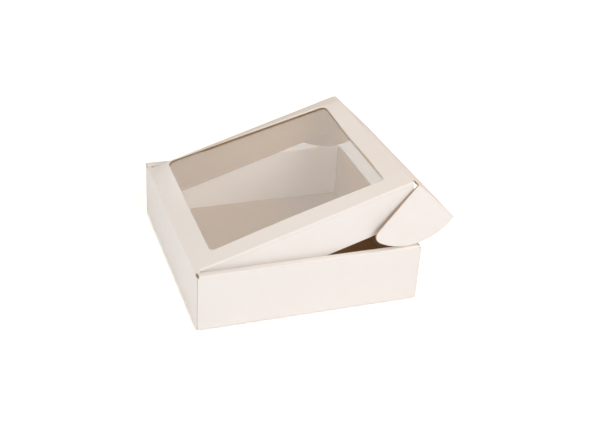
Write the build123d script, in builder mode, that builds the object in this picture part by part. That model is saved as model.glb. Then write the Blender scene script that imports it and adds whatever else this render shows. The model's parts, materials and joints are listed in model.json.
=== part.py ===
"""Folding favor box of thin corrugated board, with rolled side walls and a window lid.

Frame, in millimetres: +Z up, +X from the lid's crease to the front wall, +Y from the near side wall to the
far one. The origin is the centre of the base's underside. The lid stands a little open, with the ears of its
tuck flap resting on the rolled tops of the side walls.
"""

import os
from math import asin, cos, degrees, radians, sin, sqrt

from build123d import *

os.makedirs("parts", exist_ok=True)

# Board and film
board = 1.5
film_thickness = 0.2

# Tray, measured inside
tray_depth = 151.0
tray_width = 150.0
side_height = 42.5
front_drop = 1.2

# Rolled side walls: clearance between the three layers, and at the panels' ends
layer_gap = 0.25
outer_wall_end_gap = 0.2
inner_wall_end_gap = 0.5
strip_end_gap = 0.3

# Corner flaps between the layers of the side walls
corner_flap_length = 55.0
corner_flap_drop = 0.8
corner_flap_lift = 0.5
corner_flap_radius = 8.0

# Locking tabs of the inner walls, and their slots in the base
tab_width = 22.0
tab_spacing = 75.0
tab_recess = 0.2
tab_radius = 0.9
slot_gap = 0.2

# Lid: its top face lies this far below the side walls when shut
lid_drop = 1.3
lid_side_gap = 2.7
lid_front_gap = 0.3
window_hinge_margin = 14.3
window_front_margin = 12.8
window_side_margin = 15.0
window_radius = 5.0
film_overlap = 7.5

# Side flaps of the lid
flap_depth = 28.0
flap_hinge_inset = 2.5
flap_front_inset = 1.7
flap_taper = 4.0
flap_radius = 6.0

# Tuck flap and its ears
tuck_length = 44.2
tuck_slope = 40.45
ear_gap = 0.6
ear_lean = 5.5
ear_seat_gap = 0.25
ear_neck = 2.5
ear_radius = 6.0
relief_radius = 1.2

# Creases that move: a round bead in a groove, with the inner edge crushed back
crease_gap = 0.12
crease_relief = 1.25
flap_crease_gap = 0.15

# Planes and places that follow from these sizes
half_board = board / 2
inside_x = tray_depth / 2
outside_x = inside_x + board
inside_y = tray_width / 2
inner_wall_y = inside_y + board
corner_flap_y = inner_wall_y + layer_gap
outer_wall_y = corner_flap_y + board + layer_gap
outside_y = outer_wall_y + board
strip_base = side_height - board
front_height = side_height - front_drop
hinge_x = -(inside_x + half_board)
hinge_z = side_height - lid_drop - half_board
lid_length = tray_depth - lid_front_gap
lid_half = inside_y - lid_side_gap
lid_flat_half = lid_half - board
groove_radius = half_board + crease_gap
ear_axis_y = lid_half + ear_gap + half_board

# Angles of the open lid: the round edges of its ears stand on the side walls
slope_sin = sin(radians(tuck_slope))
slope_cos = cos(radians(tuck_slope))
lean_sin = sin(radians(ear_lean))
lean_cos = cos(radians(ear_lean))
ear_reach = tuck_length * sqrt(slope_sin**2 + (lean_cos * slope_cos) ** 2) + half_board * lean_sin * slope_cos
tuck_height = side_height + ear_seat_gap + ear_reach
lid_angle = degrees(asin((tuck_height - hinge_z) / lid_length))


def direction(angle):
    """Unit vector in the XZ plane, at this many degrees above +X."""
    return Vector(cos(radians(angle)), 0, sin(radians(angle)))


def panel_plane(origin, angle):
    """Plane of a panel's middle layer: x along the panel, y along +Y, z out of its cream face."""
    return Plane(origin=origin, x_dir=direction(angle), z_dir=direction(angle + 90))


lid_plane = panel_plane(Vector(hinge_x, 0, hinge_z), lid_angle)
tuck_origin = lid_plane.from_local_coords(Vector(lid_length, 0, 0))
tuck_plane = panel_plane(tuck_origin, -tuck_slope)

# Base: floor panel between the folds, with a slot under each locking tab
with BuildPart() as base_panel:
    Box(2 * inside_x, 2 * outer_wall_y, board, align=(Align.CENTER, Align.CENTER, Align.MIN))
    with GridLocations(tab_spacing, inside_y + inner_wall_y, 2, 2):
        Box(
            tab_width + 2 * slot_gap,
            board + 2 * slot_gap,
            3 * board,
            mode=Mode.SUBTRACT,
        )
base_panel.part.label = "base_panel"
export_step(base_panel.part, "parts/base_panel.step")

# Back and front walls: a round fold at the base, then the panel, then a bead or a cut edge on top
for wall_name, side, top in (("back_wall", -1, hinge_z), ("front_wall", 1, front_height)):
    with BuildPart() as end_wall:
        with BuildSketch(Plane.XZ):
            with BuildLine():
                Line((side * inside_x, 0), (side * inside_x, top))
                Line((side * inside_x, top), (side * outside_x, top))
                Line((side * outside_x, top), (side * outside_x, board))
                JernArc(
                    start=(side * outside_x, board),
                    tangent=(0, -1),
                    radius=board,
                    arc_size=-side * 90,
                )
            make_face()
        extrude(amount=corner_flap_y, both=True)
        if wall_name == "back_wall":
            with BuildSketch(Plane.XZ):
                with Locations((hinge_x, hinge_z)):
                    Circle(half_board)
            extrude(amount=lid_half, both=True)
    end_wall.part.label = wall_name
    export_step(end_wall.part, f"parts/{wall_name}.step")

# Corner flaps: round the corner from the end wall, then along inside the side wall
flap_top = strip_base - corner_flap_drop
flap_bottom = board + corner_flap_lift
for end_name, end in (("back", -1), ("front", 1)):
    for side_name, side in (("near", -1), ("far", 1)):
        with BuildPart() as corner_flap:
            with BuildSketch(Plane.XY.offset(flap_bottom)):
                with BuildLine():
                    free_x = end * (inside_x - corner_flap_length)
                    flap_outer_y = side * (corner_flap_y + board)
                    Line((end * outside_x, side * corner_flap_y), (free_x, side * corner_flap_y))
                    Line((free_x, side * corner_flap_y), (free_x, flap_outer_y))
                    Line((free_x, flap_outer_y), (end * inside_x, flap_outer_y))
                    JernArc(
                        start=(end * inside_x, flap_outer_y),
                        tangent=(end, 0),
                        radius=board,
                        arc_size=-end * side * 90,
                    )
                make_face()
            extrude(amount=flap_top - flap_bottom)
            fillet(corner_flap.edges().filter_by(Axis.Y), corner_flap_radius)
        flap_name = f"{end_name}_{side_name}_corner_flap"
        corner_flap.part.label = flap_name
        export_step(corner_flap.part, f"parts/{flap_name}.step")

# Rolled side walls: outer wall, strip over the top and inner wall with its locking tabs
for side_name, side in (("near", -1), ("far", 1)):
    with BuildPart() as outer_wall:
        with BuildSketch(Plane.YZ):
            with BuildLine():
                Line((side * outer_wall_y, 0), (side * outer_wall_y, strip_base))
                Line((side * outer_wall_y, strip_base), (side * outside_y, strip_base))
                Line((side * outside_y, strip_base), (side * outside_y, board))
                JernArc(
                    start=(side * outside_y, board),
                    tangent=(0, -1),
                    radius=board,
                    arc_size=-side * 90,
                )
            make_face()
        extrude(amount=outside_x - outer_wall_end_gap, both=True)
    outer_wall.part.label = f"{side_name}_outer_wall"
    export_step(outer_wall.part, f"parts/{side_name}_outer_wall.step")

    with BuildPart() as top_strip:
        with BuildSketch(Plane.YZ):
            with BuildLine():
                Line((side * inside_y, strip_base), (side * outside_y, strip_base))
                JernArc(
                    start=(side * outside_y, strip_base),
                    tangent=(0, 1),
                    radius=board,
                    arc_size=side * 90,
                )
                Line((side * outer_wall_y, side_height), (side * inner_wall_y, side_height))
                JernArc(
                    start=(side * inner_wall_y, side_height),
                    tangent=(-side, 0),
                    radius=board,
                    arc_size=side * 90,
                )
            make_face()
        extrude(amount=inside_x - strip_end_gap, both=True)
    top_strip.part.label = f"{side_name}_top_strip"
    export_step(top_strip.part, f"parts/{side_name}_top_strip.step")

    with BuildPart() as inner_wall:
        inner_plane = Plane(origin=(0, side * inside_y, 0), x_dir=(1, 0, 0), z_dir=(0, side, 0))
        up = -side
        with BuildSketch(inner_plane):
            with Locations((0, up * (board + strip_base) / 2)):
                Rectangle(2 * (inside_x - inner_wall_end_gap), strip_base - board)
        extrude(amount=board)
        with BuildSketch(inner_plane):
            with Locations(
                (-tab_spacing / 2, up * (board + tab_recess) / 2),
                (tab_spacing / 2, up * (board + tab_recess) / 2),
            ):
                Rectangle(tab_width, board - tab_recess)
        extrude(amount=board)
        tab_corners = inner_wall.edges().filter_by(Axis.Y).group_by(Axis.Z)[0]
        fillet(tab_corners, tab_radius)
    inner_wall.part.label = f"{side_name}_inner_wall"
    export_step(inner_wall.part, f"parts/{side_name}_inner_wall.step")

# Lid: rounded side folds, a window, a groove round the back wall's bead and a bead for the tuck flap
window_length = lid_length - window_hinge_margin - window_front_margin
window_width = 2 * (lid_half - window_side_margin)
window_middle = window_hinge_margin + window_length / 2
lid_section = Plane(origin=lid_plane.origin, x_dir=(0, 1, 0), z_dir=lid_plane.x_dir)
with BuildPart() as lid_panel:
    with BuildSketch(lid_section):
        with BuildLine():
            Line((-lid_half, -half_board), (lid_half, -half_board))
            JernArc(start=(lid_half, -half_board), tangent=(0, 1), radius=board, arc_size=90)
            Line((lid_flat_half, half_board), (-lid_flat_half, half_board))
            JernArc(start=(-lid_flat_half, half_board), tangent=(-1, 0), radius=board, arc_size=90)
        make_face()
    extrude(amount=lid_length)
    hinge_edge = lid_panel.edges().filter_by(Axis.Y).sort_by(Axis.X)[:2].sort_by(Axis.Z)[0]
    chamfer(hinge_edge, crease_relief)
    with BuildSketch(Plane(origin=lid_plane.origin, x_dir=lid_plane.x_dir, z_dir=(0, -1, 0))):
        Circle(groove_radius)
    extrude(amount=outside_y, both=True, mode=Mode.SUBTRACT)
    with BuildSketch(Plane(origin=tuck_origin, x_dir=lid_plane.x_dir, z_dir=(0, -1, 0))):
        Circle(half_board)
    extrude(amount=lid_flat_half, both=True)
    with BuildSketch(lid_plane):
        with Locations((window_middle, 0)):
            RectangleRounded(window_length, window_width, window_radius)
    extrude(amount=board, both=True, mode=Mode.SUBTRACT)
lid_panel.part.label = "lid_panel"
export_step(lid_panel.part, "parts/lid_panel.step")

# Clear film, glued to the lid's underside round the window
with BuildPart() as window_film:
    with BuildSketch(lid_plane.offset(-half_board)):
        with Locations((window_middle, 0)):
            RectangleRounded(
                window_length + 2 * film_overlap,
                window_width + 2 * film_overlap,
                window_radius,
            )
    extrude(amount=-film_thickness)
window_film.part.label = "window_film"
export_step(window_film.part, "parts/window_film.step")

# Side flaps of the lid, hanging from its rounded folds
flap_bottom_z = half_board - flap_depth
flap_front = lid_length - flap_front_inset
lid_outward = Axis((0, 0, 0), lid_plane.z_dir)
for side_name, side in (("near", -1), ("far", 1)):
    with BuildPart() as lid_flap:
        flap_plane = Plane(
            origin=lid_plane.from_local_coords(Vector(0, side * lid_flat_half, 0)),
            x_dir=lid_plane.x_dir,
            z_dir=(0, side, 0),
        )
        up = -side
        flap_top_z = -half_board - flap_crease_gap
        with BuildSketch(flap_plane):
            with BuildLine():
                Polyline(
                    (flap_hinge_inset, up * flap_top_z),
                    (flap_hinge_inset + flap_taper, up * flap_bottom_z),
                    (flap_front - flap_taper, up * flap_bottom_z),
                    (flap_front, up * flap_top_z),
                    close=True,
                )
            make_face()
        extrude(amount=board)
        free_corners = lid_flap.edges().filter_by(Axis.Y).sort_by(lid_outward)[:2]
        fillet(free_corners, flap_radius)
    lid_flap.part.label = f"{side_name}_lid_flap"
    export_step(lid_flap.part, f"parts/{side_name}_lid_flap.step")

# Tuck flap: a groove round the lid's bead, a bead along each side for the ears and notched corners
tuck_along = Axis((0, 0, 0), tuck_plane.x_dir)
tuck_outward = Axis((0, 0, 0), tuck_plane.z_dir)
with BuildPart() as tuck_flap:
    with BuildSketch(tuck_plane.offset(-half_board)):
        with Locations((tuck_length / 2, 0)):
            Rectangle(tuck_length, 2 * ear_axis_y)
    extrude(amount=board)
    crease_edges = tuck_flap.edges().filter_by(Axis.Y).sort_by(tuck_along)[:2]
    chamfer(crease_edges.sort_by(tuck_outward)[0], crease_relief)
    with BuildSketch(Plane(origin=tuck_origin, x_dir=tuck_plane.x_dir, z_dir=(0, -1, 0))):
        Circle(groove_radius)
    extrude(amount=outside_y, both=True, mode=Mode.SUBTRACT)
    bead_start = tuck_plane.from_local_coords(Vector(ear_neck, 0, 0))
    with BuildSketch(Plane(origin=bead_start, x_dir=(0, 1, 0), z_dir=tuck_plane.x_dir)):
        with Locations((-ear_axis_y, 0), (ear_axis_y, 0)):
            Circle(half_board)
    extrude(amount=tuck_length - ear_neck)
    with BuildSketch(tuck_plane):
        with Locations((relief_radius, -ear_axis_y), (relief_radius, ear_axis_y)):
            Circle(relief_radius)
    extrude(amount=board, both=True, mode=Mode.SUBTRACT)
tuck_flap.part.label = "tuck_flap"
export_step(tuck_flap.part, "parts/tuck_flap.step")

# Ears: quarter discs about the end of the lid's front crease, folded back and leaning out a little
ear_tip = sqrt(tuck_length**2 - ear_neck**2)
ear_middle = tuck_length * sqrt(0.5)
for side_name, side in (("near", -1), ("far", 1)):
    outward = Vector(0, side, 0)
    ear_plane = Plane(
        origin=tuck_origin + outward * ear_axis_y,
        x_dir=tuck_plane.x_dir,
        z_dir=outward * lean_cos + tuck_plane.z_dir * lean_sin,
    )
    with BuildPart() as ear:
        with BuildSketch(ear_plane.offset(-half_board)) as ear_outline:
            with BuildLine():
                Line((tuck_length, 0), (ear_neck, 0))
                Line((ear_neck, 0), (ear_neck, side * ear_tip))
                ThreePointArc(
                    (ear_neck, side * ear_tip),
                    (ear_middle, side * ear_middle),
                    (tuck_length, 0),
                )
            make_face()
            free_corner = ear_outline.vertices().sort_by(Axis((0, 0, 0), (0, side, 0)))[-1]
            fillet(free_corner, ear_radius)
        extrude(amount=board)
        crease_edges = ear.edges().filter_by(Axis((0, 0, 0), ear_plane.x_dir))
        chamfer(crease_edges.sort_by(Axis((0, 0, 0), ear_plane.z_dir))[0], crease_relief)
        with BuildSketch(Plane(origin=ear_plane.origin, x_dir=ear_plane.z_dir, z_dir=ear_plane.x_dir)):
            Circle(groove_radius)
        extrude(amount=tuck_length, mode=Mode.SUBTRACT)
    ear.part.label = f"{side_name}_ear"
    export_step(ear.part, f"parts/{side_name}_ear.step")
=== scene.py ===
"""Dress the folding favor box: fluted board panels, soft creases, a window film and a plain studio.

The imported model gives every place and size. Each panel of board is modelled flat, as two liners with a
fluted sheet between them, and is then folded into the place of its solid. Creases that move are bent
strips that turn with both of the panels they join.
"""

import json
import logging
import math
from contextlib import contextmanager
from dataclasses import dataclass, field
from enum import IntEnum
from typing import Callable, Iterator, Sequence

import bmesh
import bpy
from bpy.types import Material, MeshPolygon, Node, NodeSocket, NodeTree, Object
from mathutils import Matrix, Vector
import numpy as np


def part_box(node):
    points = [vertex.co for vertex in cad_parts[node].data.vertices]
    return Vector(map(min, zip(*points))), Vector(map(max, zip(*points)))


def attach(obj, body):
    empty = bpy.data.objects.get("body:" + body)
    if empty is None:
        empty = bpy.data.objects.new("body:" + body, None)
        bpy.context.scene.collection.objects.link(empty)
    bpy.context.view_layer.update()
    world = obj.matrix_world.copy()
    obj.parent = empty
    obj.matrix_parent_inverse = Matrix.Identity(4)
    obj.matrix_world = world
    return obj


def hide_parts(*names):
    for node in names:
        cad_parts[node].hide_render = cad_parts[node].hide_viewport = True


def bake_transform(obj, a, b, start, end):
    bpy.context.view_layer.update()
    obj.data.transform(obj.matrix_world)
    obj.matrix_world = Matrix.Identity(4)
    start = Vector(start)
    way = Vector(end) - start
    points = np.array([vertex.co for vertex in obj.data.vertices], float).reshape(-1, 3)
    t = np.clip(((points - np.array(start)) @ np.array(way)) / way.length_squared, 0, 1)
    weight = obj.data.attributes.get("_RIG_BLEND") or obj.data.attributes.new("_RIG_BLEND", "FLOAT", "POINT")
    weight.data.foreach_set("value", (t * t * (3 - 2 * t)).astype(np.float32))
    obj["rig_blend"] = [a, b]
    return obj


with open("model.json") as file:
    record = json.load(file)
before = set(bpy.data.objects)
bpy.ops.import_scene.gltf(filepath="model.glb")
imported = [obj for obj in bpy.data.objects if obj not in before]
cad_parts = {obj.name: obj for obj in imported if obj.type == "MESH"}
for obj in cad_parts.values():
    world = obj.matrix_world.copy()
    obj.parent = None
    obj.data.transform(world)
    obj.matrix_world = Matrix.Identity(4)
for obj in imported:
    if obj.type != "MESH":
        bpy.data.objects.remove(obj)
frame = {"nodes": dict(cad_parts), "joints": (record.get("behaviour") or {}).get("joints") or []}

LOG = logging.getLogger("favor_box")
MM = 0.001
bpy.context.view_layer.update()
PHOTO_WIDTH_PX = 600
FLUTE_PITCH_MM = 3.2
# Distance between the edges that let long and short pieces bend
LONG_BEND_STEP = 6 * MM
SHORT_BEND_STEP = 8 * MM
# Share of a face's normal along an axis that makes it face that way
FACING = 0.9
X_AXIS, Y_AXIS, Z_AXIS = Vector((1, 0, 0)), Vector((0, 1, 0)), Vector((0, 0, 1))


class Way(IntEnum):
    """Direction along an axis of the box."""

    @property
    def label(self) -> str:
        """Name of the direction, as the nodes have it."""
        return self.name.lower()


class Side(Way):
    """Sides of the box, by their direction along Y."""

    NEAR = -1
    FAR = 1


class End(Way):
    """Ends of the box, by their direction along X."""

    BACK = -1
    FRONT = 1


class Ply(IntEnum):
    """Paper surfaces of the board, in the order of its material slots."""

    OUTER = 0
    INNER = 1
    FLUTE = 2


# Modelling helpers


def deselect_all() -> None:
    """Leave object mode with nothing selected."""
    if bpy.context.mode != "OBJECT":
        bpy.ops.object.mode_set(mode="OBJECT")
    bpy.ops.object.select_all(action="DESELECT")


def take(*pieces: Object) -> Object:
    """Select these objects alone and make the first one active.

    Args:
        pieces: Objects to select.

    Returns:
        The active object.
    """
    deselect_all()
    for piece in pieces:
        piece.select_set(True)
    bpy.context.view_layer.objects.active = pieces[0]
    return pieces[0]


@contextmanager
def editing(piece: Object, mode: str = "FACE") -> Iterator[bmesh.types.BMesh]:
    """Open a piece in edit mode with nothing selected.

    Args:
        piece: Object to edit.
        mode: Kind of element that the operators act on, VERT, EDGE or FACE.

    Returns:
        The mesh being edited, whose elements the caller selects.
    """
    take(piece)
    bpy.ops.object.mode_set(mode="EDIT")
    bpy.ops.mesh.select_mode(type=mode)
    bpy.ops.mesh.select_all(action="DESELECT")
    yield bmesh.from_edit_mesh(piece.data)
    bpy.ops.object.mode_set(mode="OBJECT")


def settle(piece: Object, seat: Matrix | None = None) -> Object:
    """Put a piece into its seat and apply that place to its mesh.

    Args:
        piece: Object to place.
        seat: Place of the piece's own plane in the row frame, or None to keep the one that it has.

    Returns:
        The same object, at the origin, unturned and unscaled.
    """
    take(piece)
    if seat is not None:
        piece.matrix_world = seat
    bpy.ops.object.transform_apply(location=True, rotation=True, scale=True)
    return piece


def apply_modifier(piece: Object, kind: str, **settings: object) -> Object:
    """Add one modifier and apply it.

    Args:
        piece: Object to change.
        kind: Blender's name for the modifier.
        settings: Values of the modifier's own properties.

    Returns:
        The same object.
    """
    take(piece)
    modifier = piece.modifiers.new(kind.title(), kind)
    for name, value in settings.items():
        setattr(modifier, name, value)
    bpy.ops.object.modifier_apply(modifier=modifier.name)
    return piece


def copy_of(piece: Object, name: str) -> Object:
    """Copy an object together with its mesh.

    Args:
        piece: Object to copy.
        name: Name of the copy.

    Returns:
        The copy.
    """
    twin = piece.copy()
    twin.data = piece.data.copy()
    twin.name = name
    bpy.context.scene.collection.objects.link(twin)
    return twin


def discard(piece: Object) -> None:
    """Delete a construction piece that is no longer needed."""
    bpy.data.objects.remove(piece, do_unlink=True)


def cut(piece: Object, tool: Object, operation: str = "DIFFERENCE") -> Object:
    """Cut a solid with another one, which is used up.

    Args:
        piece: Solid to cut.
        tool: Solid that cuts it.
        operation: DIFFERENCE, INTERSECT or UNION.

    Returns:
        The piece that was cut.
    """
    apply_modifier(piece, "BOOLEAN", object=tool, operation=operation, solver="EXACT")
    discard(tool)
    return piece


def rectangle(name: str, low: Sequence[float], high: Sequence[float], columns: int = 1) -> Object:
    """Flat rectangle in the XY plane, from a grid primitive.

    Args:
        name: Name of the object.
        low: Lowest x and y.
        high: Highest x and y.
        columns: Number of columns that it is divided into along x.

    Returns:
        The new object.
    """
    deselect_all()
    middle = ((low[0] + high[0]) / 2, (low[1] + high[1]) / 2, 0)
    bpy.ops.mesh.primitive_grid_add(x_subdivisions=columns, y_subdivisions=1, size=1, location=middle)
    sheet = bpy.context.active_object
    sheet.name = name
    sheet.scale = (high[0] - low[0], high[1] - low[1], 1)
    return settle(sheet)


def round_corners(
    sheet: Object, chosen: Callable[[Vector], bool], radius: float, segments: int = 8
) -> Object:
    """Round the chosen corners of a flat sheet.

    Args:
        sheet: Flat sheet.
        chosen: Test of a corner's place.
        radius: Length that the rounding takes from each side of a corner.
        segments: Steps of the rounding.

    Returns:
        The same sheet.
    """
    with editing(sheet, "VERT") as mesh:
        for corner in mesh.verts:
            corner.select_set(chosen(corner.co))
        mesh.select_flush(True)
        bpy.ops.mesh.bevel(offset=radius, segments=segments, profile=0.5, affect="VERTICES")
    return sheet


def thicken(sheet: Object, thickness: float) -> Object:
    """Give a flat sheet its thickness, half on each side of its plane."""
    return apply_modifier(sheet, "SOLIDIFY", thickness=thickness, offset=0, use_even_offset=True)


def divide(piece: Object, axis: Vector, places: Sequence[float]) -> None:
    """Cut extra edges across a piece, so that it can be bent.

    Args:
        piece: Piece to divide.
        axis: Direction that the cuts are square to.
        places: Distances of the cuts along that direction.
    """
    with editing(piece):
        for place in places:
            bpy.ops.mesh.select_all(action="SELECT")
            bpy.ops.mesh.bisect(plane_co=axis * place, plane_no=axis)


def spaced(low: float, high: float, step: float) -> list[float]:
    """Evenly spaced places between two ends, without the ends."""
    count = max(1, round((high - low) / step))
    return [low + (high - low) * i / count for i in range(1, count)]


def smooth_step(value: float) -> float:
    """Ease from 0 to 1 as a value goes from 0 to 1."""
    share = min(max(value, 0.0), 1.0)
    return share * share * (3 - 2 * share)


def join(name: str, *pieces: Object) -> Object:
    """Join pieces into the first of them and name it.

    Args:
        name: Name of the whole.
        pieces: Pieces to join.

    Returns:
        The whole.
    """
    whole = take(*pieces)
    if len(pieces) > 1:
        bpy.ops.object.join()
    whole.name = name
    whole.data.name = name
    return whole


def smooth(piece: Object, angle_deg: float) -> None:
    """Shade a piece smoothly, apart from edges that are sharper than an angle."""
    take(piece)
    bpy.ops.object.shade_smooth_by_angle(angle=math.radians(angle_deg))


def paint(piece: Object, ply: Callable[[MeshPolygon], Ply]) -> Object:
    """Give every face of a piece of board its paper.

    Args:
        piece: Piece of board.
        ply: Paper surface of a face.

    Returns:
        The same piece, with all the papers in its material slots.
    """
    piece.data.materials.clear()
    for paper in PAPERS:
        piece.data.materials.append(paper)
    for face in piece.data.polygons:
        face.material_index = ply(face)
    return piece


def map_paper(piece: Object) -> Object:
    """Store flat millimetres as the map that the papers' patterns follow.

    Args:
        piece: Piece of board, still flat.

    Returns:
        The same piece.
    """
    layer = piece.data.uv_layers.new(name="flat_mm")
    for loop in piece.data.loops:
        place = piece.data.vertices[loop.vertex_index].co
        layer.data[loop.index].uv = (place.x / MM, place.y / MM)
    return piece


def seat_of(origin: Vector, along: Vector, outward: Vector) -> Matrix:
    """Place of a panel's own plane in the row frame.

    Args:
        origin: Point that the plane's zero goes to.
        along: Direction of the plane's x, across the flutes.
        outward: Direction of the plane's z, out of the cream face.

    Returns:
        Matrix from the plane to the row frame.
    """
    turn = Matrix((along, outward.cross(along), outward)).transposed()
    return Matrix.Translation(origin) @ turn.to_4x4()


@dataclass(frozen=True)
class Extent:
    """Lowest and highest corner of a node, in a panel's own plane."""

    low: Vector
    high: Vector

    @classmethod
    def of(cls, node: str, seat: Matrix) -> "Extent":
        """Measure a node in a seat's own plane.

        Args:
            node: Name of the node.
            seat: Place of the plane in the row frame.

        Returns:
            The node's extent there.
        """
        home = seat.inverted()
        places = [home @ vertex.co for vertex in frame["nodes"][node].data.vertices]
        axes = list(zip(*places))
        return cls(Vector(map(min, axes)), Vector(map(max, axes)))


# Finishes


def linear(colour: str) -> tuple[float, float, float, float]:
    """Turn an sRGB hex colour into linear red, green, blue and alpha."""
    shares = [int(colour[i : i + 2], 16) / 255 for i in (1, 3, 5)]
    return (*[s / 12.92 if s <= 0.04045 else ((s + 0.055) / 1.055) ** 2.4 for s in shares], 1.0)


def add_node(tree: NodeTree, kind: str, settings: dict | None = None, links: dict | None = None) -> Node:
    """Add a node with its settings and what feeds its sockets.

    Args:
        tree: Node tree that gets the node.
        kind: Blender's type name for the node, after ShaderNode.
        settings: Values by name of a property, or by name or number of an input.
        links: Outputs that feed the node, by name or number of an input.

    Returns:
        The new node.
    """
    node = tree.nodes.new("ShaderNode" + kind)

    def socket(key: str | int) -> NodeSocket:
        """Find an input in use by its name or number."""
        if isinstance(key, int):
            return node.inputs[key]
        return next(s for s in node.inputs if s.enabled and s.name == key)

    for key, value in (settings or {}).items():
        if isinstance(key, str) and hasattr(node, key):
            setattr(node, key, value)
        else:
            socket(key).default_value = value
    for key, source in (links or {}).items():
        tree.links.new(source, socket(key))
    return node


def output(node: Node) -> NodeSocket:
    """First output in use of a node."""
    return next(s for s in node.outputs if s.enabled)


def new_material(name: str, settings: dict[str, object]) -> tuple[Material, NodeTree, Node]:
    """Make a node material with a Principled surface.

    Args:
        name: Name of the real material.
        settings: Values of the surface's inputs.

    Returns:
        The material, its node tree and its Principled node.
    """
    material = bpy.data.materials.new(name)
    material.use_nodes = True
    tree = material.node_tree
    surface = tree.nodes["Principled BSDF"]
    for key, value in settings.items():
        surface.inputs[key].default_value = value
    return material, tree, surface


@dataclass(frozen=True)
class Paper:
    """Uncoated, machine-made paper of one layer of the board.

    It is matt, with cloudy mottling, flecks of fibre and a faint washboard over the flutes. Fibres are
    drawn coarser than real ones, which are too fine to show.
    """

    name: str
    colour: str
    cloud_colour: str
    fleck_colour: str
    fleck_share: float
    roughness: float
    washboard_mm: float
    specular: float = 0.3
    cloud_mm: float = 9.0
    fibre_mm: float = 0.9
    fibre_length: float = 5.0
    fleck_low: float = 0.6
    fleck_high: float = 0.75
    flute_pitch_mm: float = FLUTE_PITCH_MM
    grain_mm: float = 0.012
    grain_strength: float = 0.5

    def material(self) -> Material:
        """Build the paper's material.

        Returns:
            The material.
        """
        sheen = {"Roughness": self.roughness, "Specular IOR Level": self.specular}
        material, tree, surface = new_material(self.name, sheen)
        place = add_node(tree, "TexCoord").outputs["Object"]
        flat = output(add_node(tree, "UVMap", {"uv_map": "flat_mm"}))
        clouds = {"Scale": 1 / (self.cloud_mm * MM), "Detail": 4.0}
        cloud = add_node(tree, "TexNoise", clouds, {"Vector": place}).outputs["Fac"]
        tones = {"data_type": "RGBA", "A": linear(self.colour), "B": linear(self.cloud_colour)}
        mottled = add_node(tree, "Mix", tones, {"Factor": cloud})
        stretched = add_node(tree, "Mapping", {"Scale": (self.fibre_length, 1.0, 1.0)}, {"Vector": flat})
        fibres = {"Scale": 1 / (self.fibre_mm * self.fibre_length), "Detail": 5.0, "Roughness": 0.65}
        fibre = add_node(tree, "TexNoise", fibres, {"Vector": output(stretched)}).outputs["Fac"]
        flecks = {"From Min": self.fleck_low, "From Max": self.fleck_high, "To Max": self.fleck_share}
        fleck = add_node(tree, "MapRange", flecks, {"Value": fibre})
        dark = {"data_type": "RGBA", "B": linear(self.fleck_colour)}
        colour = add_node(tree, "Mix", dark, {"Factor": output(fleck), "A": output(mottled)})
        tree.links.new(output(colour), surface.inputs["Base Color"])
        self.add_relief(tree, surface, flat, fibre)
        return material

    def add_relief(self, tree: NodeTree, surface: Node, flat: NodeSocket, fibre: NodeSocket) -> None:
        """Bump the surface with its fibres and with the flutes that show faintly through the liner.

        Args:
            tree: Node tree of the paper.
            surface: Principled node of the paper.
            flat: Map of the board's flat millimetres.
            fibre: Fibre pattern.
        """
        across = add_node(tree, "SeparateXYZ", links={"Vector": flat}).outputs["X"]
        turns = {"operation": "MULTIPLY", 1: 2 * math.pi / self.flute_pitch_mm}
        phase = add_node(tree, "Math", turns, {0: across})
        wave = add_node(tree, "Math", {"operation": "SINE"}, {0: output(phase)})
        fuzz = {"Strength": self.grain_strength, "Distance": self.grain_mm * MM}
        grain = add_node(tree, "Bump", fuzz, {"Height": fibre})
        ribs = {"Distance": self.washboard_mm * MM}
        relief = add_node(tree, "Bump", ribs, {"Height": output(wave), "Normal": output(grain)})
        tree.links.new(output(relief), surface.inputs["Normal"])


@dataclass(frozen=True)
class Film:
    """Clear PET film, cast smooth and glued on with a slight ripple.

    The eye looks through it, past a milky veil where it mirrors the white studio. The share that it
    mirrors is the alpha of a bright metallic surface.
    """

    name: str = "clear PET window film"
    colour: str = "#FFFCF8"
    sheen: float = 0.117
    roughness: float = 0.2
    ripple_mm: float = 71.43
    ripple_height_mm: float = 0.4
    ripple_strength: float = 0.15

    def material(self) -> Material:
        """Build the film's material.

        Returns:
            The material.
        """
        mirror = {"Base Color": linear(self.colour), "Metallic": 1.0, "Alpha": self.sheen}
        material, tree, surface = new_material(self.name, {**mirror, "Roughness": self.roughness})
        place = add_node(tree, "TexCoord").outputs["Object"]
        ripples = {"Scale": 1 / (self.ripple_mm * MM), "Detail": 1.0}
        ripple = add_node(tree, "TexNoise", ripples, {"Vector": place}).outputs["Fac"]
        relief = {"Strength": self.ripple_strength, "Distance": self.ripple_height_mm * MM}
        bump = add_node(tree, "Bump", relief, {"Height": ripple})
        tree.links.new(output(bump), surface.inputs["Normal"])
        return material


# In the order of Ply
PAPERS = [
    # Bleached liner: gives the outside its warm, matt white, almost without flecks
    Paper(
        name="cream paper liner",
        colour="#F5EEE8",
        cloud_colour="#F2EAE3",
        fleck_colour="#E6D9CC",
        fleck_share=0.12,
        roughness=0.72,
        washboard_mm=0.006,
    ).material(),
    # Unbleached liner: gives the inside its dull brown, flecked with darker fibres
    Paper(
        name="kraft paper liner",
        colour="#B5926A",
        cloud_colour="#A98660",
        fleck_colour="#7A5939",
        fleck_share=0.45,
        roughness=0.8,
        washboard_mm=0.01,
    ).material(),
    # Corrugating paper: gives cut edges and the waves between the liners their paler tan
    Paper(
        name="kraft fluting paper",
        colour="#D8C3A4",
        cloud_colour="#CDB592",
        fleck_colour="#A2845F",
        fleck_share=0.35,
        roughness=0.85,
        washboard_mm=0.0,
    ).material(),
]


# Board


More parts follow.
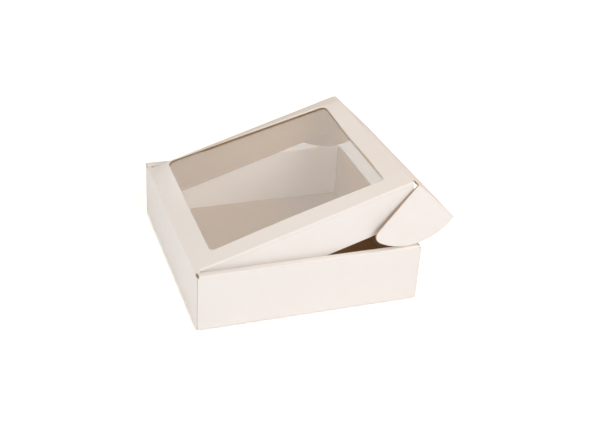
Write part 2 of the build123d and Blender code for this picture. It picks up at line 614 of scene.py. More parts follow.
@dataclass(frozen=True)
class Fluting:
    """Make-up of the board: two liners with a wave of paper glued between them."""

    thickness: float
    liner: float = 0.34 * MM
    paper: float = 0.28 * MM
    pitch: float = FLUTE_PITCH_MM * MM
    steps: int = 8
    spare: float = 2 * MM
    fold_steps: int = 8
    squareness: float = 3.2
    outer_share: float = 0.9
    smooth_deg: float = 35.0

    def tool(self, low: Sequence[float], high: Sequence[float]) -> Object:
        """Block that cuts a rectangle right through a panel."""
        return thicken(rectangle("tool", low, high), 4 * self.thickness)

    def layer(self, prism: Object, outward: int) -> Object:
        """Cut one liner to a panel's outline.

        Args:
            prism: Solid of the panel's outline, thicker than the board.
            outward: 1 for the cream liner, -1 for the kraft one.

        Returns:
            The liner.
        """
        low, high = self.room(prism)
        sheet = thicken(rectangle("liner", low, high), self.liner)
        sheet.location.z = outward * (self.thickness - self.liner) / 2
        settle(sheet)
        cut(sheet, copy_of(prism, "outline"), "INTERSECT")
        under, rest = (Ply.FLUTE, Ply.OUTER) if outward > 0 else (Ply.INNER, Ply.FLUTE)
        return paint(sheet, lambda face: under if face.normal.z < -FACING else rest)

    def wave(self, prism: Object) -> Object:
        """Cut the fluted sheet to a panel's outline.

        Args:
            prism: Solid of the panel's outline, thicker than the board.

        Returns:
            The fluted sheet.
        """
        low, high = self.room(prism)
        flutes = math.ceil((high[0] - low[0]) / self.pitch)
        spread = (flutes * self.pitch - high[0] + low[0]) / 2
        ends = (low[0] - spread, low[1]), (high[0] + spread, high[1])
        sheet = rectangle("flutes", *ends, flutes * self.steps)
        height = self.thickness / 2 - self.liner - self.paper / 2
        for vertex in sheet.data.vertices:
            vertex.co.z = height * math.sin(2 * math.pi * vertex.co.x / self.pitch)
        thicken(sheet, self.paper)
        cut(sheet, copy_of(prism, "outline"), "INTERSECT")
        return paint(sheet, lambda face: Ply.FLUTE)

    def room(self, prism: Object) -> tuple[tuple[float, float], tuple[float, float]]:
        """Measure the sheet that a panel is cut from.

        Args:
            prism: Solid of the panel's outline.

        Returns:
            Its lowest x and y, and its highest.
        """
        places = [vertex.co for vertex in prism.data.vertices]
        low = (min(p.x for p in places) - self.spare, min(p.y for p in places) - self.spare)
        high = (max(p.x for p in places) + self.spare, max(p.y for p in places) + self.spare)
        return low, high

    def board(
        self,
        name: str,
        outline: Object,
        seat: Matrix,
        *tools: Object,
        shape: Callable[[Object], None] | None = None,
        extra: Sequence[Object] = (),
    ) -> Object:
        """Make a panel of board from its outline and fold it into place.

        Args:
            name: Name of the piece.
            outline: Flat sheet with the panel's outline, which is used up.
            seat: Place of the panel's plane in the row frame.
            tools: Solids that cut windows, slots and notches, which are used up.
            shape: Bends the flat panel before it is put into place.
            extra: Painted pieces between the liners, which become part of the panel.

        Returns:
            The panel, in the row frame.
        """
        prism = thicken(outline, 2 * self.thickness)
        for tool in tools:
            cut(prism, tool)
        layers = [self.layer(prism, 1), self.layer(prism, -1), self.wave(prism)]
        discard(prism)
        panel = map_paper(join(name, *layers, *extra))
        if shape is not None:
            shape(panel)
        return settle(panel, seat)

    def fold(self, name: str, seat: Matrix, length: float) -> Object:
        """Spin the rounded fold between two panels at right angles about its inner corner.

        Args:
            name: Name of the piece.
            seat: Place of the fold: its x runs along the crease and its z points out of the first panel.
            length: Length of the crease.

        Returns:
            The fold, in the row frame.
        """
        wedge = rectangle(name, (-length / 2, 0), (length / 2, self.thickness))
        wedge.rotation_euler.x = math.pi / 2
        settle(wedge)
        with editing(wedge):
            bpy.ops.mesh.select_all(action="SELECT")
            bpy.ops.mesh.spin(steps=self.fold_steps, angle=math.pi / 2, center=(0, 0, 0), axis=(1, 0, 0))
            bpy.ops.mesh.select_all(action="SELECT")
            bpy.ops.mesh.remove_doubles(threshold=self.thickness / 100)
            bpy.ops.mesh.normals_make_consistent(inside=False)
        paint(wedge, self.fold_ply)
        for vertex in wedge.data.vertices:
            spread = sum(abs(part / self.thickness) ** self.squareness for part in vertex.co.yz)
            if spread > 0:
                vertex.co.yz = Vector(vertex.co.yz) / spread ** (1 / self.squareness)
        map_paper(wedge)
        settle(wedge, seat)
        smooth(wedge, self.smooth_deg)
        return wedge

    def fold_ply(self, face: MeshPolygon) -> Ply:
        """Paper of a fold's face: cream outside, fluting at the cut ends and kraft at the inner corner."""
        inside = Ply.FLUTE if abs(face.normal.x) > FACING else Ply.INNER
        return Ply.OUTER if Vector(face.center.yz).length > self.outer_share * self.thickness else inside


@dataclass(frozen=True)
class Crease:
    """A crease that moves: a strip of board bent about the middle of its thickness."""

    layout: "Layout"
    name: str
    first: str
    second: str
    middle: Vector
    travel: Vector
    outward: Vector
    turn: float
    length: float
    twist: float = 0.0
    slack: bool = False
    steps: int = 16
    inset_share: float = 0.22
    smooth_deg: float = 50.0

    def build(self) -> Object:
        """Bend the strip and let it turn with both of its panels.

        Returns:
            The crease, in the row frame.
        """
        reach = self.layout.crease_reach
        half = self.length / 2
        strip = rectangle(self.name, (-reach, -half), (reach, half), self.steps)
        thicken(strip, self.layout.board)
        if self.slack:
            divide(strip, Y_AXIS, spaced(-half, half, LONG_BEND_STEP))
        plies = {1: Ply.OUTER, -1: Ply.INNER, 0: Ply.FLUTE}
        paint(strip, lambda face: plies[round(face.normal.z)])
        map_paper(strip)
        for vertex in strip.data.vertices:
            share = smooth_step((vertex.co.x + reach) / (2 * reach))
            turn = self.turn + self.twist * (vertex.co.y / self.length + 0.5)
            vertex.co = Matrix.Rotation(turn * share, 3, "Y") @ vertex.co
        settle(strip, seat_of(self.middle, self.travel, self.outward))
        if self.slack:
            self.layout.slacken(strip)
        smooth(strip, self.smooth_deg)
        onward = math.cos(self.turn) * self.travel - math.sin(self.turn) * self.outward
        start = self.middle - self.travel * reach
        end = self.middle + onward * reach
        inset = (end - start) * self.inset_share
        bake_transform(strip, self.first, self.second, start=start + inset, end=end - inset)
        return strip


# Box


@dataclass
class Layout:
    """Axes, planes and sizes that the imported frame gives."""

    hinge: Vector = field(init=False)
    tuck: Vector = field(init=False)
    lid_along: Vector = field(init=False)
    lid_out: Vector = field(init=False)
    tuck_along: Vector = field(init=False)
    tuck_out: Vector = field(init=False)
    lid_length: float = field(init=False)
    flap_axis_y: float = field(init=False)
    ear_axis_y: float = field(init=False)
    board: float = field(init=False)
    hinge_half: float = field(init=False)
    crease_reach: float = 1.2 * MM
    shoulder: float = 2.0 * MM
    front_roll: float = 2.9 * MM

    def __post_init__(self) -> None:
        """Read the joints and the base's thickness."""
        joints = {joint["name"]: joint for joint in frame["joints"]}
        self.hinge = Vector(joints["lid_crease"]["pos_m"])
        self.tuck = Vector(joints["tuck_crease"]["pos_m"])
        self.lid_length = (self.tuck - self.hinge).length
        self.lid_along = (self.tuck - self.hinge).normalized()
        self.lid_out = self.lid_along.cross(Y_AXIS)
        self.tuck_along = Vector(joints["far_ear_crease"]["axis"]).normalized()
        self.tuck_out = self.tuck_along.cross(Y_AXIS)
        self.flap_axis_y = joints["far_lid_flap_crease"]["pos_m"][1]
        self.ear_axis_y = joints["far_ear_crease"]["pos_m"][1]
        low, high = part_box("base_panel")
        self.board = high.z - low.z
        self.hinge_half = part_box("lid_panel")[1].y + self.shoulder

    def roll(self, across: float) -> float:
        """Distance that the lid's front fold has rolled outward, most at its near end.

        Args:
            across: Distance from the middle, towards the far side.

        Returns:
            Distance along the lid.
        """
        share = 0.5 + across / (2 * self.flap_axis_y)
        return self.front_roll * (1 - min(max(share, 0.0), 1.0) ** 2)

    def slacken(self, piece: Object) -> Object:
        """Let a piece of the tuck flap follow the rolled front fold, less and less away from it.

        Args:
            piece: Piece in the row frame.

        Returns:
            The same piece.
        """
        low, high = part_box("tuck_flap")
        fade = (high - low).xz.length
        # What lies within two boards of the flap's plane follows the fold fully
        close = 2 * self.board
        for vertex in piece.data.vertices:
            place = vertex.co - self.tuck
            below = max(place.dot(self.tuck_along), 0.0) / fade
            behind = max(-place.dot(self.tuck_out) - close, 0.0) / fade
            share = max(1 - below, 0.0) * max(1 - behind, 0.0)
            vertex.co += self.lid_along * self.roll(vertex.co.y) * share
        return piece


def report(piece: Object, body: str, *nodes: str, slot: str = "board") -> None:
    """Let a finished piece ride on its body in place of its nodes, and log it.

    Args:
        piece: Finished piece.
        body: Body that carries it.
        nodes: Nodes that it stands for.
        slot: Not used.
    """
    if "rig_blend" not in piece:
        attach(piece, body)
    if nodes:
        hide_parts(*nodes)
    LOG.info("%s: %d faces, on %s", piece.name, len(piece.data.polygons), body)


@dataclass
class Tray:
    """Lower half of the box: base, end walls, rolled side walls and the flaps inside them."""

    layout: Layout
    fluting: Fluting
    slot_gap: float = 0.2 * MM
    tab_spacing: float = 75 * MM
    tab_width: float = 22 * MM
    corner_radius: float = 8 * MM
    open_end: float = 0.9 * MM

    def build(self) -> None:
        """Build every panel of the tray."""
        self.build_base()
        for end in End:
            self.build_end_wall(end)
            for side in Side:
                self.build_corner_flap(end, side)
        for side in Side:
            self.build_outer_wall(side)
            self.build_top_strip(side)
            self.build_inner_wall(side)

    def finish(self, node: str, *pieces: Object) -> None:
        """Join the pieces of a panel, which rides on the tray in place of its node."""
        report(join(node + "_board", *pieces), "tray", node)

    def build_base(self) -> None:
        """Base panel, with a slot under each locking tab."""
        thick = self.layout.board
        seat = seat_of(Vector((0, 0, thick / 2)), X_AXIS, -Z_AXIS)
        size = Extent.of("base_panel", seat)
        wall = Extent.of("far_inner_wall", seat)
        slot_y = abs(wall.low.y + wall.high.y) / 2
        half = Vector((self.tab_width / 2 + self.slot_gap, thick / 2 + self.slot_gap))
        tools = []
        for x in (-self.tab_spacing / 2, self.tab_spacing / 2):
            for y in (-slot_y, slot_y):
                tools.append(self.fluting.tool((x - half.x, y - half.y), (x + half.x, y + half.y)))
        outline = rectangle("base", size.low, size.high)
        report(self.fluting.board("base_board", outline, seat, *tools), "tray", "base_panel")

    def build_end_wall(self, end: End) -> None:
        """Back or front wall, with its fold at the base.

        Args:
            end: Which end of the tray.
        """
        thick = self.layout.board
        node = f"{end.label}_wall"
        low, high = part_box(node)
        middle = (low.x + high.x) / 2
        seat = seat_of(Vector((middle, 0, 0)), Z_AXIS, end * X_AXIS)
        size = Extent.of(node, seat)
        tools = []
        top = size.high.x
        if end is End.BACK:
            top = self.layout.hinge.z
            half = self.layout.hinge_half
            tools.append(self.fluting.tool((top - self.layout.crease_reach, -half), (top + thick, half)))
        outline = rectangle("wall", (thick, size.low.y), (top, size.high.y))
        panel = self.fluting.board(node + "_board", outline, seat, *tools)
        fold_seat = seat_of(Vector((middle - end * thick / 2, 0, thick)), end * Y_AXIS, end * X_AXIS)
        fold = self.fluting.fold("fold", fold_seat, size.high.y - size.low.y)
        self.finish(node, panel, fold)

    def build_corner_flap(self, end: End, side: Side) -> None:
        """Flap that goes round a corner and in between the layers of a side wall.

        Args:
            end: End wall that the flap belongs to.
            side: Side wall that it goes into.
        """
        thick = self.layout.board
        node = f"{end.label}_{side.label}_corner_flap"
        low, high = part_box(node)
        corner_x = (low.x if end is End.BACK else high.x) - end * thick
        middle = Vector((corner_x, (low.y + high.y) / 2, (low.z + high.z) / 2))
        along = -end * side * Z_AXIS
        seat = seat_of(middle, along, side * Y_AXIS)
        size = Extent.of(node, seat)
        outline = rectangle("flap", (size.low.x, 0), (size.high.x, size.high.y))
        round_corners(outline, lambda place: place.y > thick, self.corner_radius)
        panel = self.fluting.board(node + "_board", outline, seat)
        fold_seat = seat_of(middle - side * Y_AXIS * thick / 2, along, end * X_AXIS)
        fold = self.fluting.fold("fold", fold_seat, high.z - low.z)
        self.finish(node, panel, fold)

    def build_outer_wall(self, side: Side) -> None:
        """Outer layer of a side wall, with its fold at the base.

        Args:
            side: Which side of the tray.
        """
        thick = self.layout.board
        node = f"{side.label}_outer_wall"
        low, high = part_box(node)
        middle = (low.y + high.y) / 2
        seat = seat_of(Vector((0, middle, 0)), -side * X_AXIS, side * Y_AXIS)
        size = Extent.of(node, seat)
        outline = rectangle("wall", (size.low.x, thick), (size.high.x, size.high.y))
        panel = self.fluting.board(node + "_board", outline, seat)
        fold_seat = seat_of(Vector((0, middle - side * thick / 2, thick)), -side * X_AXIS, side * Y_AXIS)
        fold = self.fluting.fold("fold", fold_seat, size.high.x - size.low.x)
        self.finish(node, panel, fold)

    def build_top_strip(self, side: Side) -> None:
        """Strip that rolls over the top of a side wall, with a fold along each edge.

        Args:
            side: Which side of the tray.
        """
        thick = self.layout.board
        node = f"{side.label}_top_strip"
        low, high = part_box(node)
        middle = Vector((0, (low.y + high.y) / 2, (low.z + high.z) / 2))
        seat = seat_of(middle, -side * X_AXIS, Z_AXIS)
        size = Extent.of(node, seat)
        back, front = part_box(f"{side.label}_outer_wall")[0].x, high.x
        if side is Side.NEAR:
            back += self.open_end
        left, right = sorted((-side * back, -side * front))
        outline = rectangle("strip", (left, size.low.y + thick), (right, size.high.y - thick))
        pieces = [self.fluting.board(node + "_board", outline, seat)]
        for edge in Side:
            corner = Vector(((back + front) / 2, middle.y + edge * ((high.y - low.y) / 2 - thick), low.z))
            pieces.append(self.fluting.fold("fold", seat_of(corner, edge * X_AXIS, Z_AXIS), front - back))
        self.finish(node, *pieces)

    def build_inner_wall(self, side: Side) -> None:
        """Inner layer of a side wall, with the locking tabs at its foot.

        Args:
            side: Which side of the tray.
        """
        thick = self.layout.board
        node = f"{side.label}_inner_wall"
        low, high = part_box(node)
        seat = seat_of(Vector((0, (low.y + high.y) / 2, 0)), -side * X_AXIS, -side * Y_AXIS)
        size = Extent.of(node, seat)
        half = (self.tab_spacing - self.tab_width) / 2
        places = (-self.tab_spacing, 0, self.tab_spacing)
        tools = [self.fluting.tool((x - half, -thick), (x + half, thick)) for x in places]
        outline = rectangle("wall", size.low, size.high)
        self.finish(node, self.fluting.board(node + "_board", outline, seat, *tools))


@dataclass
class Lid:
    """Lid: window frame, film, side flaps and the creases that carry them."""

    layout: Layout
    fluting: Fluting
    film: Film
    film_overlap: float = 7.5 * MM
    window_radius: float = 5 * MM
    flap_radius: float = 6 * MM
    flap_taper: float = 4 * MM
    crease_gap: float = 0.1 * MM
    far_lift: float = 9.0 * MM
    far_lift_front: float = 3.2 * MM
    far_lift_start: float = 15 * MM
    near_lift: float = 1.2 * MM
    steep_zone: float = 28 * MM
    steep_step: float = 2 * MM
    even_step: float = 10 * MM
    smooth_deg: float = 30.0
    rim_inset: float = 0.12 * MM
    rim_width: float = 0.4 * MM
    pinch_width: float = 1.5 * MM
    pinch_share: float = 0.5
    flap_front: float = 0.7 * MM
    window_half: float = field(init=False)
    window_back: float = field(init=False)
    window_front: float = field(init=False)

    def lift(self, along: float, across: float) -> float:
        """Height of the sprung lid above its plane.

        Args:
            along: Distance from the hinge.
            across: Distance from the middle, towards the far side.

        Returns:
            Height, which is most at the window's far edge next to the hinge.
        """
        share = along / self.layout.lid_length
        far = self.far_lift + (self.far_lift_front - self.far_lift) * share
        far *= smooth_step(along / self.far_lift_start) * self.rise(across)
        near = self.near_lift * math.sin(math.pi * min(max(share, 0.0), 1.0)) * self.rise(-across)
        return max(far, 0.0) + max(near, 0.0)

    def rise(self, across: float) -> float:
        """Share of a side's lift, which is most at the window's edge.

        Args:
            across: Distance from the middle, towards that side.

        Returns:
            Share of the lift.
        """
        beyond = across - self.window_half
        if beyond > 0:
            return 1 - beyond / (self.layout.flap_axis_y - self.window_half)
        return smooth_step(across / self.window_half)

    def spring(self, piece: Object) -> None:
        """Bend the flat lid or its film to the shape that it has sprung into.

        Args:
            piece: Piece in the lid's own plane.
        """
        half = self.layout.flap_axis_y
        divide(piece, X_AXIS, spaced(0, self.steep_zone, self.steep_step))
        divide(piece, X_AXIS, spaced(self.steep_zone, self.layout.lid_length, self.even_step))
        divide(piece, Y_AXIS, spaced(-half, half, LONG_BEND_STEP))
        for vertex in piece.data.vertices:
            vertex.co.z += self.lift(vertex.co.x, vertex.co.y)
        smooth(piece, self.smooth_deg)

    def edge_distance(self, along: float, across: float) -> float:
        """Distance of a place on the lid from the window's cut edge.

        Args:
            along: Distance from the hinge.
            across: Distance from the middle, towards the far side.

        Returns:
            Distance, which is below zero inside the window.
        """
        half = (self.window_front - self.window_back) / 2 - self.window_radius
        beyond = max(abs(along - (self.window_front + self.window_back) / 2) - half, 0.0)
        beside = max(abs(across) - self.window_half + self.window_radius, 0.0)
        return math.hypot(beyond, beside) - self.window_radius

    def pinch(self, panel: Object) -> None:
        """Pinch the board along the window's edge, as the cutting die does, and let the lid spring.

        Args:
            panel: Board in the lid's own plane.
        """
        for share in (1 / 3, 2 / 3, 1):
            step = share * self.pinch_width
            divide(panel, X_AXIS, [self.window_back - step, self.window_front + step])
            divide(panel, Y_AXIS, [-self.window_half - step, self.window_half + step])
        under = -self.fluting.thickness / 2
        for vertex in panel.data.vertices:
            distance = self.edge_distance(vertex.co.x, vertex.co.y)
            share = 1 - smooth_step(distance / self.pinch_width)
            vertex.co.z -= self.pinch_share * share * (vertex.co.z - under)
        self.spring(panel)

    def draw_out(self, piece: Object) -> Object:
        """Draw the front end of a piece out to the rolled front fold.

        Args:
            piece: Piece of the lid in the row frame.

        Returns:
            The same piece.
        """
        layout = self.layout
        start, end = self.window_front, layout.lid_length - layout.crease_reach
        for vertex in piece.data.vertices:
            share = ((vertex.co - layout.hinge).dot(layout.lid_along) - start) / (end - start)
            vertex.co += layout.lid_along * layout.roll(vertex.co.y) * min(max(share, 0.0), 1.0)
        return piece

    def build(self) -> None:
        """Build the lid's panel, film, flaps and creases."""
        seat = seat_of(self.layout.hinge, self.layout.lid_along, self.layout.lid_out)
        self.build_panel(seat)
        self.build_film(seat)
        for side in Side:
            self.build_flap(side)
        self.build_hinge_crease()

    def build_panel(self, seat: Matrix) -> None:
        """Board of the lid, with its window cut out.

        Args:
            seat: Place of the lid's plane in the row frame.
        """
        layout = self.layout
        film = Extent.of("window_film", seat)
        room = Vector((self.film_overlap, self.film_overlap, 0))
        window = rectangle("window", film.low + room, film.high - room)
        self.window_half = film.high.y - room.y
        self.window_front = film.high.x - room.x
        self.window_back = film.low.x + room.x
        round_corners(window, lambda place: True, self.window_radius)
        thicken(window, 4 * layout.board)
        reach = layout.crease_reach
        front = layout.lid_length - reach
        outline = rectangle("lid", (reach, -layout.hinge_half), (front, layout.hinge_half))
        tools = [window]
        for side in Side:
            flap = Extent.of(f"{side.label}_lid_flap", seat)
            for edge, start, end in (
                (layout.flap_axis_y, flap.low.x, flap.high.x + self.flap_front),
                (layout.hinge_half - layout.shoulder, flap.high.x, 2 * front),
            ):
                left, right = sorted((side * edge, side * 2 * edge))
                tools.append(self.fluting.tool((start, left), (end, right)))
        rim = self.build_rim(film.low + room, film.high - room)
        panel = self.fluting.board("lid_board", outline, seat, *tools, shape=self.pinch, extra=(rim,))
        report(self.draw_out(panel), "lid", "lid_panel")

    def build_rim(self, low: Vector, high: Vector) -> Object:
        """Pinched paper just inside the window's cut edge, which closes the ends of the flutes.

        Args:
            low: Lowest corner of the window.
            high: Highest corner of the window.

        Returns:
            The rim, in the lid's own plane.
        """
        core = self.fluting.thickness - 2 * self.fluting.liner
        sheets = []
        for spread, depth in ((self.rim_inset + self.rim_width, core), (self.rim_inset, 4 * core)):
            step = Vector((spread, spread, 0))
            sheet = rectangle("rim", low - step, high + step)
            round_corners(sheet, lambda place: True, self.window_radius + spread)
            sheets.append(thicken(sheet, depth))
        return paint(cut(*sheets), lambda face: Ply.FLUTE)

    def build_film(self, seat: Matrix) -> None:
        """Film glued under the window.

        Args:
            seat: Place of the lid's plane in the row frame.
        """
        size = Extent.of("window_film", seat)
        sheet = rectangle("window_film_sheet", size.low, size.high)
        round_corners(sheet, lambda place: True, self.window_radius)
        thicken(sheet, size.high.z - size.low.z)
        divide(sheet, Y_AXIS, [-self.window_half, self.window_half])
        self.spring(sheet)
        middle = (size.low.z + size.high.z) / 2
        settle(sheet, seat @ Matrix.Translation((0, 0, middle)))
        sheet.data.materials.append(self.film.material())
        report(sheet, "lid", "window_film", slot="window_film")

    def build_flap(self, side: Side) -> None:
        """Side flap and the rounded fold that it hangs from.

        Args:
            side: Which side of the lid.
        """
        layout = self.layout
        thick = layout.board
        node = f"{side.label}_lid_flap"
        corner = layout.hinge - layout.lid_out * thick / 2 + side * Y_AXIS * layout.flap_axis_y
        seat = seat_of(corner + side * Y_AXIS * thick / 2, side * layout.lid_along, side * Y_AXIS)
        size = Extent.of(node, seat)
        back, front = sorted((side * size.low.x, side * size.high.x))
        front += self.flap_front
        left, right = sorted((side * back, side * front))
        outline = rectangle("flap", (left, self.crease_gap), (right, size.high.y))
        middle = (left + right) / 2
        with editing(outline, "VERT") as mesh:
            for way in (1, -1):
                bpy.ops.mesh.select_all(action="DESELECT")
                for vertex in mesh.verts:
                    vertex.select_set(vertex.co.y > thick and (vertex.co.x - middle) * way > 0)
                bpy.ops.transform.translate(value=(-way * self.flap_taper, 0, 0))
        round_corners(outline, lambda place: place.y > thick, self.flap_radius)
        report(self.draw_out(self.fluting.board(node + "_board", outline, seat)), node, node)
        fold_middle = corner + side * layout.lid_along * middle
        fold_seat = seat_of(fold_middle, side * layout.lid_along, layout.lid_out)
        fold = self.draw_out(self.fluting.fold(node + "_crease", fold_seat, front - back))
        start = fold_middle + layout.lid_out * thick
        end = fold_middle + side * Y_AXIS * thick
        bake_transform(fold, "lid", node, start=start, end=end)
        report(fold, "lid")

    def build_hinge_crease(self) -> None:
        """Crease between the back wall and the lid."""
        layout = self.layout
        crease = Crease(
            layout,
            name="lid_hinge_crease",
            first="tray",
            second="lid",
            middle=layout.hinge,
            travel=Z_AXIS,
            outward=-X_AXIS,
            turn=math.acos(layout.lid_along.z),
            length=2 * layout.hinge_half,
        )
        report(crease.build(), "tray")


@dataclass
class Tuck:
    """Tuck flap at the lid's front, with its ears and creases."""

    layout: Layout
    fluting: Fluting
    ear_radius: float = 6 * MM
    ear_clearing: float = 7.2 * MM
    corner_tolerance: float = 0.1 * MM
    arc_steps: int = 160
    twist: float = math.radians(4)

    def build(self) -> None:
        """Build the flap, its ears and the creases."""
        layout = self.layout
        seat = seat_of(layout.tuck, layout.tuck_along, layout.tuck_out)
        size = Extent.of("tuck_flap", seat)
        half = layout.ear_axis_y - layout.crease_reach
        outline = rectangle("tuck", (layout.crease_reach, -half), (size.high.x, half))
        panel = self.fluting.board("tuck_flap_board", outline, seat, shape=self.wring)
        report(layout.slacken(panel), "tuck_flap", "tuck_flap")
        crease = Crease(
            layout,
            name="tuck_crease",
            first="lid",
            second="tuck_flap",
            middle=layout.tuck,
            travel=layout.lid_along,
            outward=layout.lid_out,
            turn=layout.lid_along.angle(layout.tuck_along),
            length=2 * layout.flap_axis_y,
            twist=self.twist,
            slack=True,
        )
        report(crease.build(), "lid")
        for side in Side:
            self.build_ear(side, size.high.x)

    def wring(self, piece: Object) -> None:
        """Wring the flat tuck flap, whose far end is folded further down than its near end.

        Args:
            piece: Piece in the flap's own plane.
        """
        half = self.layout.ear_axis_y
        divide(piece, Y_AXIS, spaced(-half, half, LONG_BEND_STEP))
        divide(piece, X_AXIS, spaced(0, half, SHORT_BEND_STEP))
        for vertex in piece.data.vertices:
            share = 0.5 + vertex.co.y / (2 * half)
            vertex.co = Matrix.Rotation(self.twist * share, 3, "Y") @ vertex.co

    def build_ear(self, side: Side, radius: float) -> None:
        """Quarter-round ear and its crease.

        Args:
            side: Which side of the tuck flap.
            radius: Radius of the ear about the end of the lid's front crease.
        """
        layout = self.layout
        node = f"{side.label}_ear"
        axis = layout.tuck + side * Y_AXIS * layout.ear_axis_y
        ear_out = self.outward_of(node, side)
        ear_down = ear_out.cross(side * layout.tuck_along)
        seat = seat_of(axis, side * layout.tuck_along, ear_out)
        size = Extent.of(node, seat)
        neck = min(abs(size.low.x), abs(size.high.x))
        outline = self.quarter_disc(side, radius, neck)
        wrung = Matrix.Rotation(self.twist if side is Side.FAR else 0.0, 4, "Y")
        about = Matrix.Translation(layout.tuck) @ wrung @ Matrix.Translation(-layout.tuck)
        panel = self.fluting.board(node + "_board", outline, about @ seat, shape=self.divide_ear)
        report(layout.slacken(panel), node, node)
        crease = Crease(
            layout,
            name=node + "_crease",
            first="tuck_flap",
            second=node,
            middle=about @ (axis + layout.tuck_along * (neck + radius) / 2),
            travel=side * Y_AXIS,
            outward=wrung.to_3x3() @ layout.tuck_out,
            turn=math.acos(ear_down.dot(side * Y_AXIS)),
            length=radius - neck,
            slack=True,
        )
        report(crease.build(), "tuck_flap")

    def divide_ear(self, piece: Object) -> None:
        """Divide a flat ear, so that it can follow the tuck flap.

        Args:
            piece: Ear in its own plane.
        """
        size = self.layout.ear_axis_y
        divide(piece, X_AXIS, spaced(-size, size, SHORT_BEND_STEP))
        divide(piece, Y_AXIS, spaced(0, size, SHORT_BEND_STEP))

    def outward_of(self, node: str, side: Side) -> Vector:
        """Direction out of an ear's cream face, from the node's own faces.

        Args:
            node: Name of the ear's node.
            side: Which side of the tuck flap.

        Returns:
            Unit vector.
        """
        faces = frame["nodes"][node].data.polygons
        largest = max((f for f in faces if f.normal.y * side > 0.5), key=lambda f: f.area)
        return largest.normal.normalized()

    def quarter_disc(self, side: Side, radius: float, neck: float) -> Object:
        """Flat outline of an ear: a quarter disc with its free corner rounded.

        Args:
            side: Which side of the tuck flap.
            radius: Radius of the disc.
            neck: Distance of the ear's straight top from the disc's centre.

        Returns:
            The outline.
        """
        deselect_all()
        bpy.ops.mesh.primitive_circle_add(vertices=self.arc_steps, radius=radius, fill_type="NGON")
        disc = bpy.context.active_object
        cuts = (((side * neck, 0, 0), (-side, 0, 0)), ((0, self.layout.crease_reach, 0), (0, -1, 0)))
        with editing(disc):
            for place, outward in cuts:
                bpy.ops.mesh.select_all(action="SELECT")
                bpy.ops.mesh.bisect(plane_co=place, plane_no=outward, clear_outer=True)
        corner = max((v.co.copy() for v in disc.data.vertices), key=lambda place: place.y)
        with editing(disc, "VERT") as mesh:
            for vertex in mesh.verts:
                vertex.select_set(0 < (vertex.co - corner).length < self.ear_clearing)
            bpy.ops.mesh.dissolve_verts()
        tolerance = self.corner_tolerance
        return round_corners(disc, lambda place: (place - corner).length < tolerance, self.ear_radius)


# Studio


@dataclass(frozen=True)
class Softbox:
    """Round soft lamp that looks at the box."""

    name: str
    place: tuple[float, float, float]
    size: float
    power: float
    colour: str

    def build(self) -> None:
        """Hang the lamp."""
        data = bpy.data.lights.new(self.name, "AREA")
        data.shape = "DISK"
        data.size = self.size
        data.energy = self.power
        data.color = linear(self.colour)[:3]
        lamp = bpy.data.objects.new(self.name, data)
        bpy.context.scene.collection.objects.link(lamp)
        lamp.location = self.place
        lamp.rotation_euler = (-lamp.location).to_track_quat("-Z", "Y").to_euler()


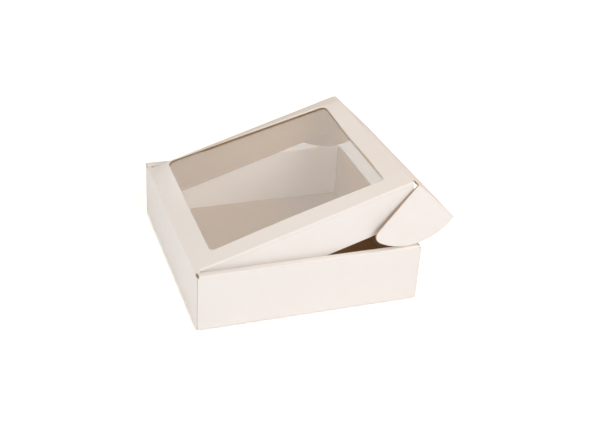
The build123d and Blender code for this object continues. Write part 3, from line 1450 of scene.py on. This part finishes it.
@dataclass(frozen=True)
class Studio:
    """Camera at the photograph's view, soft lights and a pale floor."""

    azimuth_deg: float = -20.568
    elevation_deg: float = 29.843
    roll_deg: float = 3.6
    distance: float = 754.2 * MM
    target: tuple[float, float, float] = (18.46 * MM, 0.0, 29.77 * MM)
    focal_px: float = 1048.8
    sensor_mm: float = 36.0
    sky_strength: float = 0.22
    key: Softbox = Softbox("key_softbox", (0.4, -1.05, 0.8), 0.8, 9.7, "#F8FBFF")
    fill: Softbox = Softbox("fill_softbox", (-1.15, -0.4, 0.25), 0.9, 7.8, "#FAFDFF")
    top: Softbox = Softbox("top_softbox", (0.25, -0.12, 0.48), 0.4, 0.45, "#FFE0BC")
    rear: Softbox = Softbox("rear_softbox", (-0.05, 0.95, 0.68), 1.4, 4.2, "#FFF1E0")
    floor_colour: str = "#F4F4F4"
    floor_roughness: float = 0.9
    # Brightness to the camera alone, so that the backdrop burns out and the box gets no more light
    floor_gain: float = 2.2
    # Painted shade: the floor seen through the window film is dimmed, in place of the shadow that the lid
    # and tuck flap cast there
    floor_gain_behind_film: float = 0.6
    floor_half: float = 1.2
    floor_drop: float = 0.05 * MM
    fade_start: float = 0.5
    fade_end: float = 0.95

    def build(self) -> None:
        """Add the camera, the lights and the floor."""
        self.add_camera()
        self.add_sky()
        for lamp in (self.key, self.fill, self.top, self.rear):
            lamp.build()
        self.add_floor()

    def add_camera(self) -> None:
        """Camera on its fitted place, with the photograph's small roll."""
        azimuth, elevation = math.radians(self.azimuth_deg), math.radians(self.elevation_deg)
        upward = Vector((0, -math.cos(elevation), math.sin(elevation)))
        back = Matrix.Rotation(azimuth, 3, "Z") @ upward
        data = bpy.data.cameras.new("photo_camera")
        data.sensor_fit = "HORIZONTAL"
        data.sensor_width = self.sensor_mm
        data.lens = self.focal_px * self.sensor_mm / PHOTO_WIDTH_PX
        camera = bpy.data.objects.new("photo_camera", data)
        bpy.context.scene.collection.objects.link(camera)
        turn = (-back).to_track_quat("-Z", "Y").to_matrix().to_4x4()
        roll = Matrix.Rotation(math.radians(self.roll_deg), 4, "Z")
        camera.matrix_world = Matrix.Translation(Vector(self.target) + back * self.distance) @ turn @ roll
        bpy.context.scene.camera = camera

    def add_sky(self) -> None:
        """World: white to the eye and in reflections, a soft even light on everything else."""
        world = bpy.data.worlds.new("studio")
        world.use_nodes = True
        tree = world.node_tree
        background = tree.nodes["Background"]
        background.inputs["Color"].default_value = linear("#FFFFFF")
        path = add_node(tree, "LightPath").outputs
        either = {"operation": "MAXIMUM"}
        seen = add_node(tree, "Math", either, {0: path["Is Camera Ray"], 1: path["Is Glossy Ray"]})
        clear = add_node(tree, "Math", either, {0: output(seen), 1: path["Is Transmission Ray"]})
        levels = {"To Min": self.sky_strength, "To Max": 1.0}
        strength = add_node(tree, "MapRange", levels, {"Value": output(clear)})
        tree.links.new(output(strength), background.inputs["Strength"])
        bpy.context.scene.world = world

    def add_floor(self) -> None:
        """Floor of matt paper: an even white to the eye, with the soft shadow of the box on it, and a
        painted shade where it is seen through the window film.
        """
        half = self.floor_half
        floor = rectangle("floor", (-half, -half), (half, half))
        settle(floor, Matrix.Translation((0, 0, -self.floor_drop)))
        matt = {"Roughness": self.floor_roughness, "Specular IOR Level": 0.0}
        glow = {"Emission Color": linear("#FFFFFF")}
        material, tree, surface = new_material("matt white studio paper", {**matt, **glow})
        path = add_node(tree, "LightPath").outputs
        any_layer = {"operation": "GREATER_THAN", 1: 0.5}
        behind_film = add_node(tree, "Math", any_layer, {0: path["Transparent Depth"]})
        plain = linear(self.floor_colour)
        # Seen through the window film, the floor takes a painted shade; seen bare, it burns out to white
        gains = (self.floor_gain, self.floor_gain_behind_film)
        direct, painted_shade_tone = [(*[channel * gain for channel in plain[:3]], 1.0) for gain in gains]
        tones = {"data_type": "RGBA", "A": direct, "B": painted_shade_tone}
        seen = add_node(tree, "Mix", tones, {"Factor": output(behind_film)})
        sources = {"Factor": path["Is Camera Ray"], "B": output(seen)}
        colour = add_node(tree, "Mix", {"data_type": "RGBA", "A": plain}, sources)
        tree.links.new(output(colour), surface.inputs["Base Color"])
        place = add_node(tree, "TexCoord").outputs["Object"]
        distance = add_node(tree, "VectorMath", {"operation": "LENGTH"}, {"Vector": place})
        ends = {"From Min": self.fade_start, "From Max": self.fade_end}
        fade = add_node(tree, "MapRange", ends, {"Value": distance.outputs["Value"]})
        factors = {0: output(fade), 1: path["Is Camera Ray"]}
        white = add_node(tree, "Math", {"operation": "MULTIPLY"}, factors)
        tree.links.new(output(white), surface.inputs["Emission Strength"])
        floor.data.materials.append(material)


def main() -> None:
    """Build the box and the studio."""
    logging.basicConfig(level=logging.INFO, format="%(name)s: %(message)s")
    bpy.context.scene.view_settings.view_transform = "Standard"
    layout = Layout()
    fluting = Fluting(thickness=layout.board)
    Tray(layout, fluting).build()
    Lid(layout, fluting, Film()).build()
    Tuck(layout, fluting).build()
    Studio().build()


if __name__ == "__main__":
    main()
